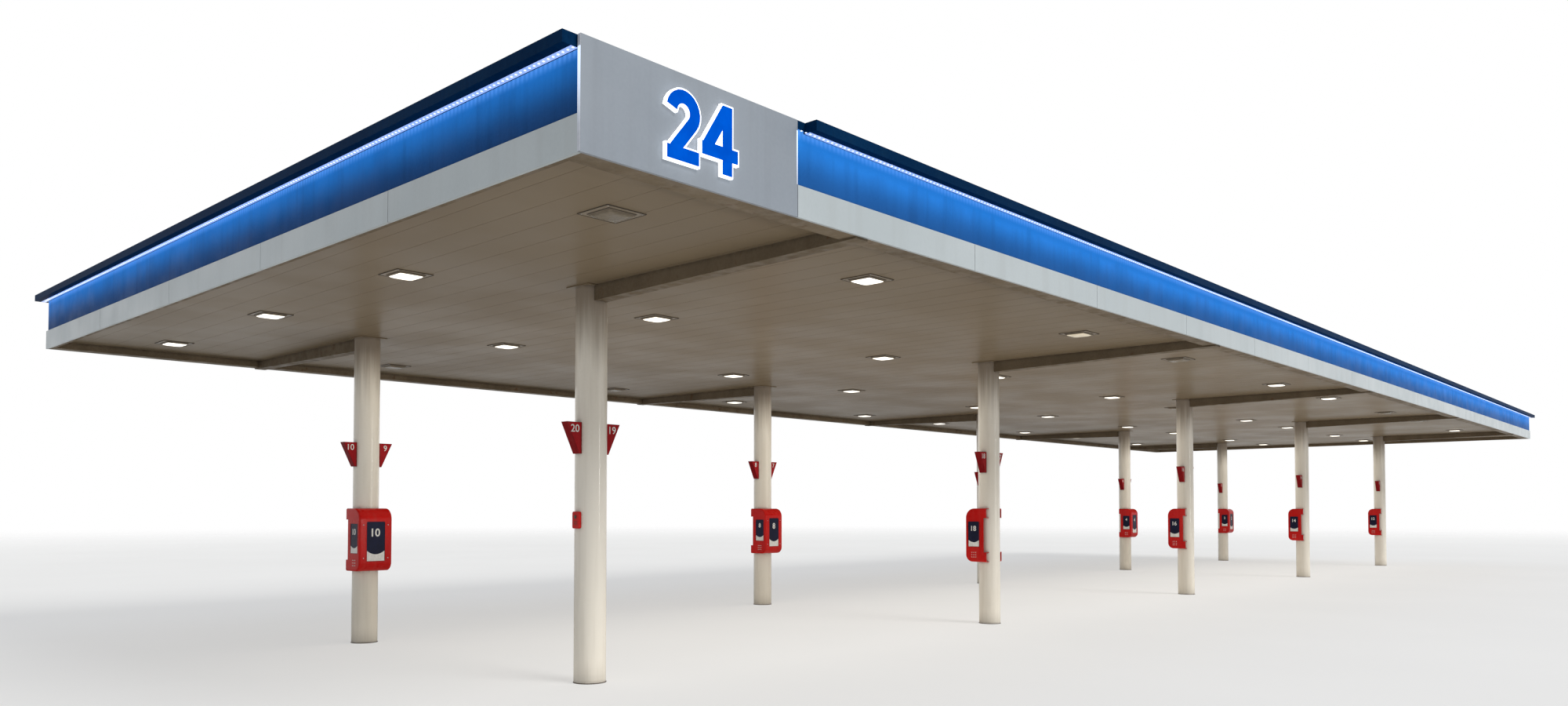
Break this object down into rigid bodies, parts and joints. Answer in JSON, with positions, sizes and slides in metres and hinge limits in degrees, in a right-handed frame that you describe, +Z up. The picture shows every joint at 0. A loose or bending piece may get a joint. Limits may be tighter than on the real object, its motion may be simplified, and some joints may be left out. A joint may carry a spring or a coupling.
{
  "type": "filling station canopy, 1:2 scale model",
  "caption": "Long flat filling-station canopy on two rows of round columns, with a lit blue and white fascia, a pan deck soffit with recessed lights and red column fittings.",
  "frame": {"origin": "on the ground under the middle of the canopy, at the centre of its bounding box in plan", "axes": "+X along the canopy, away from the sign panel's end; +Y across it, from the front to the back; +Z up"},
  "size_m": [22.7, 7.6, 2.914],
  "materials": {
    "column_paint": "semi-gloss off-white paint with dirt and rust stains at the heads",
    "deck_paint": "glossy white enamel seen warm under the lights, dirt in the pan joints",
    "frame_steel": "grey primer",
    "white_panel": "satin white panels with faint dirt streaks",
    "blue_panel": "satin blue panels washed by the strip light above",
    "sign_panel": "satin white tray",
    "cornice_paint": "satin navy paint",
    "strip_lens": "frosted strip-light cover, lit",
    "gutter_paint": "white paint with brown dirt",
    "lamp_housing": "white enamel with dirt along its edges",
    "lamp_lens": "frosted lens, warm white when lit",
    "flag_paint": "gloss red with plain white numbers",
    "unit_plastic": "moulded gloss red with dark panels"
  },
  "bodies": {
    "root": {"blue_panel_back": "blue_panel", "blue_panel_front": "blue_panel", "blue_panel_left": "blue_panel", "blue_panel_right": "blue_panel", "call_box": "unit_plastic", "column_collars": "deck_paint", "column_far_1": "column_paint", "column_far_2": "column_paint", "column_far_3": "column_paint", "column_far_4": "column_paint", "column_far_5": "column_paint", "column_near_1": "column_paint", "column_near_2": "column_paint", "column_near_3": "column_paint", "column_near_4": "column_paint", "column_near_5": "column_paint", "cornice_back": "cornice_paint", "cornice_front": "cornice_paint", "cornice_left": "cornice_paint", "cornice_right": "cornice_paint", "deck_section_1": "deck_paint", "deck_section_2": "deck_paint", "deck_section_3": "deck_paint", "deck_section_4": "deck_paint", "deck_section_5": "deck_paint", "drain_troughs": "gutter_paint", "fascia_frames": "frame_steel", "gutters": "gutter_paint", "light_housings": "lamp_housing", "light_lenses": "lamp_lens", "light_strips": "strip_lens", "main_beam_1": "frame_steel", "main_beam_2": "frame_steel", "main_beam_3": "frame_steel", "main_beam_4": "frame_steel", "main_beam_5": "frame_steel", "number_flags": "flag_paint", "poster_units": "unit_plastic", "purlins_far": "frame_steel", "purlins_near": "frame_steel", "sign_panel": "sign_panel", "white_band_back": "white_panel", "white_band_front": "white_panel", "white_band_left": "white_panel", "white_band_right": "white_panel"}
  },
  "joints": []
}
